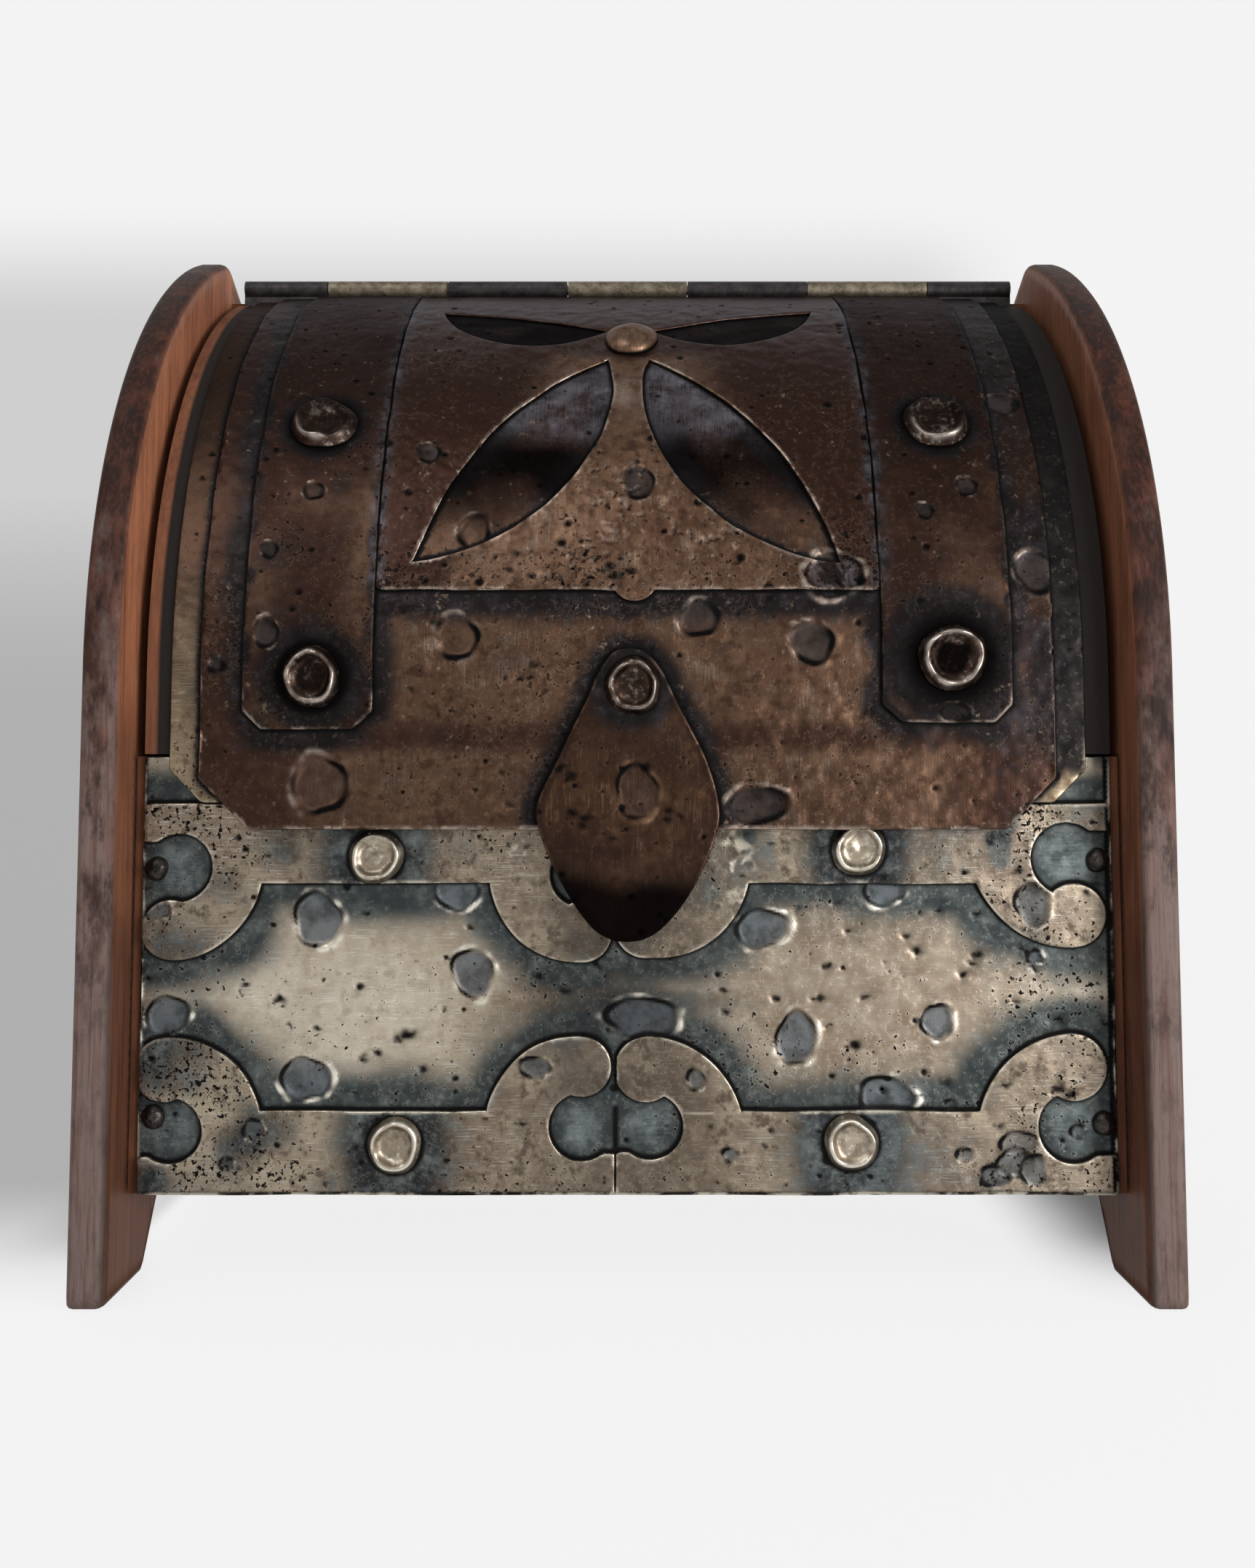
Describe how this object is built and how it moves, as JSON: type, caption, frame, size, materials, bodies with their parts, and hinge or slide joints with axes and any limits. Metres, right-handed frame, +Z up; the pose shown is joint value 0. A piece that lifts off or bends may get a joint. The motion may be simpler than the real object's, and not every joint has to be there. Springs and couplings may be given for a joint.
{
  "type": "coffer chest",
  "caption": "Small wooden coffer with shaped end boards, hammered brass front with scroll bands, and a quarter-round copper-clad lid on a long top hinge.",
  "frame": {"origin": "on the floor, under the middle of the chest", "axes": "+X to the right seen from the front, +Y from the front to the back, +Z up"},
  "size_m": [0.23, 0.11, 0.2464],
  "materials": {
    "dark_wood": "oiled dark wood, worn pale at the arrises",
    "dowel_wood": "plain",
    "aged_brass": "brushed, hammered, with teal-grey patina",
    "aged_copper": "brown copper, hammered, near-black patina",
    "brass_studs": "hand-hammered",
    "copper_studs": "hand-hammered, dark rims",
    "dark_pins": "blackened",
    "dark_hinge": "blackened",
    "pale_hinge": "dull brass",
    "steel": "plain"
  },
  "bodies": {
    "box": {"left_end_board": "dark_wood", "right_end_board": "dark_wood", "bottom_board": "dark_wood", "back_board": "dark_wood", "front_board": "dark_wood", "hinge_rail": "dark_wood", "front_cladding": "aged_brass", "upper_band_left": "aged_brass", "upper_band_right": "aged_brass", "lower_band_left": "aged_brass", "lower_band_right": "aged_brass", "dowels": "dowel_wood", "band_rivets": "brass_studs", "corner_pins": "dark_pins", "hinge_leaf_rail": "pale_hinge", "hinge_pin": "steel", "hinge_screws_rail": "steel"},
    "lid": {"lid_shell": "dark_wood", "lid_under_sheet": "aged_brass", "lid_copper_sheet": "aged_copper", "strap_left": "aged_copper", "strap_right": "aged_copper", "strap_rivets": "copper_studs", "ornament_plate": "aged_copper", "ornament_boss": "copper_studs", "pull_rivet": "copper_studs", "hinge_leaf_lid": "dark_hinge", "hinge_screws_lid": "steel"},
    "pull": {"pull": "aged_copper"}
  },
  "joints": [
    {"name": "lid_hinge", "type": "hinge", "parent": "box", "child": "lid", "pos_m": [0, 0.025, 0.24049], "axis": [-1, 0, 0], "range_deg": [0, 238]},
    {"name": "pull_swivel", "type": "hinge", "parent": "lid", "child": "pull", "pos_m": [0, -0.046, 0.1286], "axis": [0, 1, 0], "range_deg": [-75, 75]}
  ]
}
